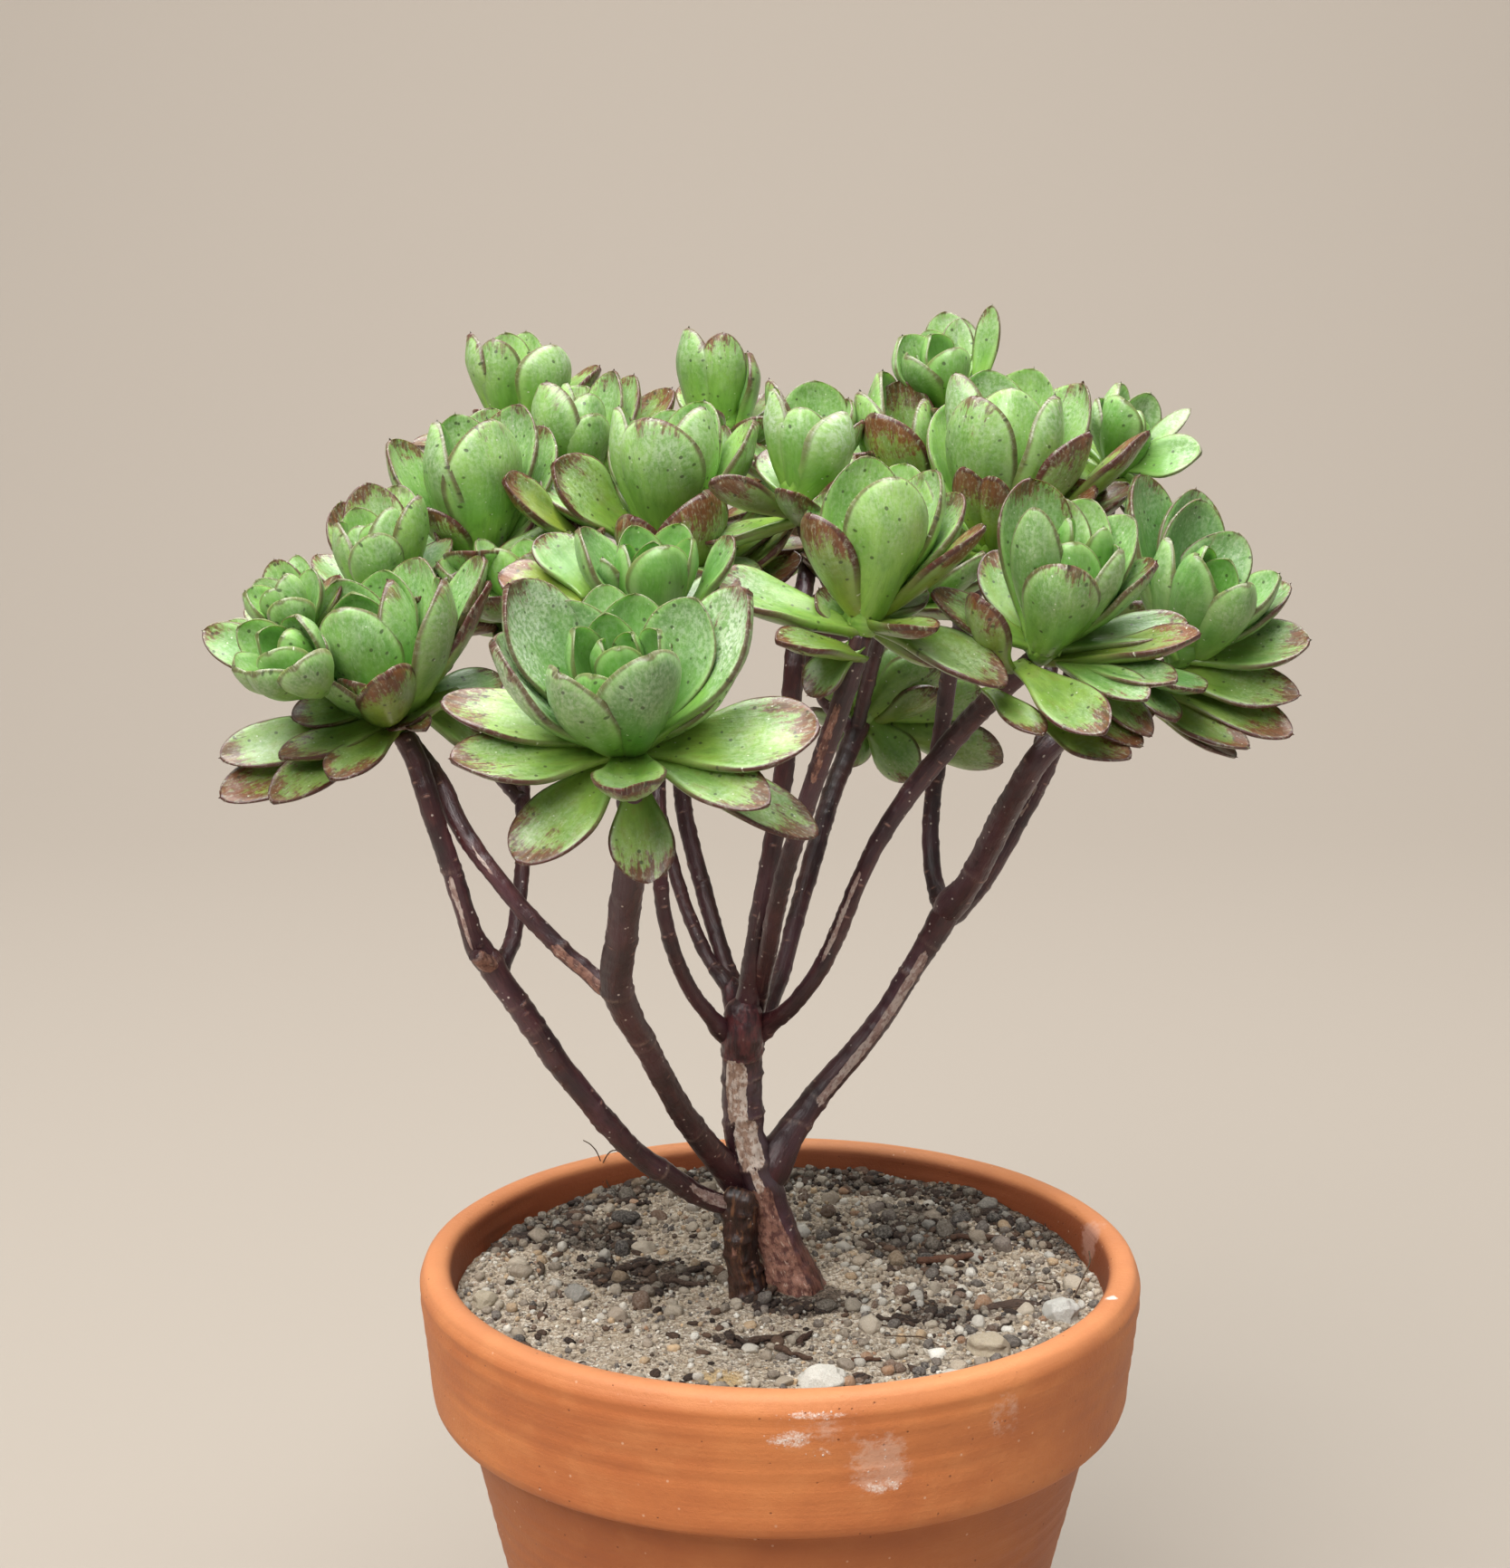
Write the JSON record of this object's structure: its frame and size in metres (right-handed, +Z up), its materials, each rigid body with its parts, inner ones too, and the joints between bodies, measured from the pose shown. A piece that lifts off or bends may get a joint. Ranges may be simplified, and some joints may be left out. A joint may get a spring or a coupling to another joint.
{
  "type": "potted aeonium",
  "caption": "Small branching rosette succulent with dark bare stems, growing in gritty soil in a plain tapered clay pot with a banded rim and a drainage hole.",
  "frame": {"origin": "centre of the underside of the pot's foot", "axes": "+Z up along the pot's axis; -Y towards the viewer of the picture; +X to that viewer's right"},
  "size_m": [0.1831, 0.1781, 0.2883],
  "materials": {
    "clay": "unglazed fired clay, matt with a slight sheen on the lip",
    "soil": "dry gritty soil, matt",
    "trunk_bark": "flaky bark, matt",
    "stem_bark": "smooth purple-brown skin with leaf scars, satin",
    "leaf": "waxy succulent leaf, satin",
    "pale_stone": "rough",
    "beige_stone": "rough",
    "grey_stone": "rough",
    "bark_chip": "rough"
  },
  "bodies": {
    "root": {"clay_pot": "clay", "soil": "soil", "trunk": "trunk_bark", "branch_left_low": "stem_bark", "branch_left_low_outer": "stem_bark", "branch_left_low_inner": "stem_bark", "branch_front": "stem_bark", "branch_front_left": "stem_bark", "branch_right_low": "stem_bark", "branch_right_outer": "stem_bark", "branch_right_rear": "stem_bark", "branch_right_inner": "stem_bark", "stem_hub_left": "stem_bark", "stem_fork_left": "stem_bark", "stem_fork_right": "stem_bark", "stem_centre": "stem_bark", "stem_centre_right": "stem_bark", "stem_right_rear": "stem_bark", "stem_right_curve": "stem_bark", "stone_white_front": "pale_stone", "stone_pumice_right": "pale_stone", "stone_beige_right": "beige_stone", "stone_beige_left": "beige_stone", "stone_grey_left": "grey_stone", "bark_chip_right": "bark_chip", "rosette_front": "leaf", "rosette_bud_rear": "leaf", "rosette_left": "leaf", "rosette_far_left_low": "leaf", "rosette_far_left_high": "leaf", "rosette_left_mid": "leaf", "rosette_upper_left": "leaf", "rosette_top_left": "leaf", "rosette_upper_mid_left": "leaf", "rosette_centre_high": "leaf", "rosette_top_centre": "leaf", "rosette_closed_bud": "leaf", "rosette_centre_right": "leaf", "rosette_right_high": "leaf", "rosette_top_right": "leaf", "rosette_right_tip": "leaf", "rosette_right_front": "leaf", "rosette_right": "leaf", "rosette_mid_rear": "leaf", "rosette_mid_right_rear": "leaf", "rosette_rear_low": "leaf", "rosette_inner_left": "leaf", "rosette_inner_right": "leaf", "rosette_rear_left": "leaf", "rosette_rear_centre": "leaf", "rosette_rear_right": "leaf", "rosette_rear_far_left": "leaf"}
  },
  "joints": []
}
